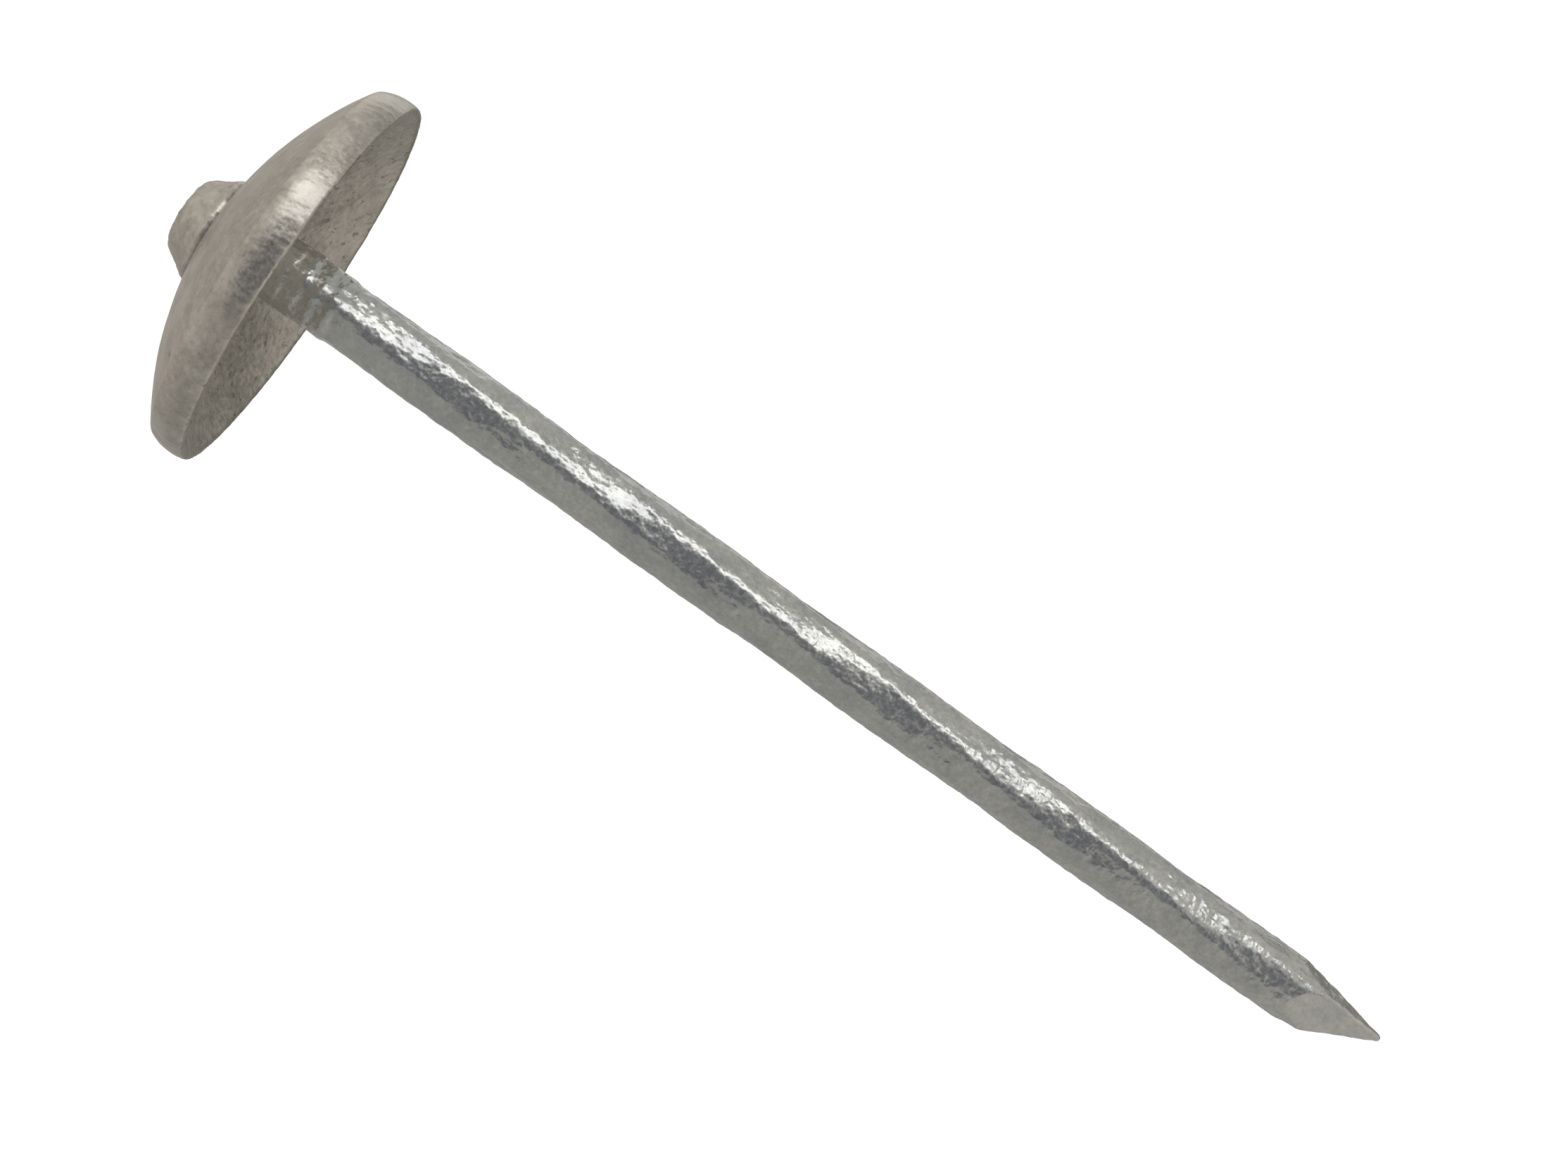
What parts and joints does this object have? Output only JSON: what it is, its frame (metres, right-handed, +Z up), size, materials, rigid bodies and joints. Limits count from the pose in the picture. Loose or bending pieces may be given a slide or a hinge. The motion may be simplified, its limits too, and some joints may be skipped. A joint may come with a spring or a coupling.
{
  "type": "umbrella head roofing nail",
  "caption": "Galvanised roofing nail: twisted six-sided wire shank with a diamond point, and a domed steel sealing cap held under its small head.",
  "frame": {"origin": "on the nail's axis, in the plane of the cap's rim, which is the face that rests on the roof sheet", "axes": "+Z up the nail's axis and out of its head, so the shank runs down to the tip at -Z; +X is the side that the cropped tip leans to"},
  "size_m": [0.02, 0.02, 0.07],
  "materials": {
    "zinc_shank": "hot-dip galvanised wire, fairly bright and lumpy, with a greenish grey cast",
    "zinc_cap": "hot-dip galvanised pressing, matt, mottled warm grey, pitted underneath"
  },
  "bodies": {
    "root": {"nail": "zinc_shank", "umbrella_cap": "zinc_cap"}
  },
  "joints": []
}
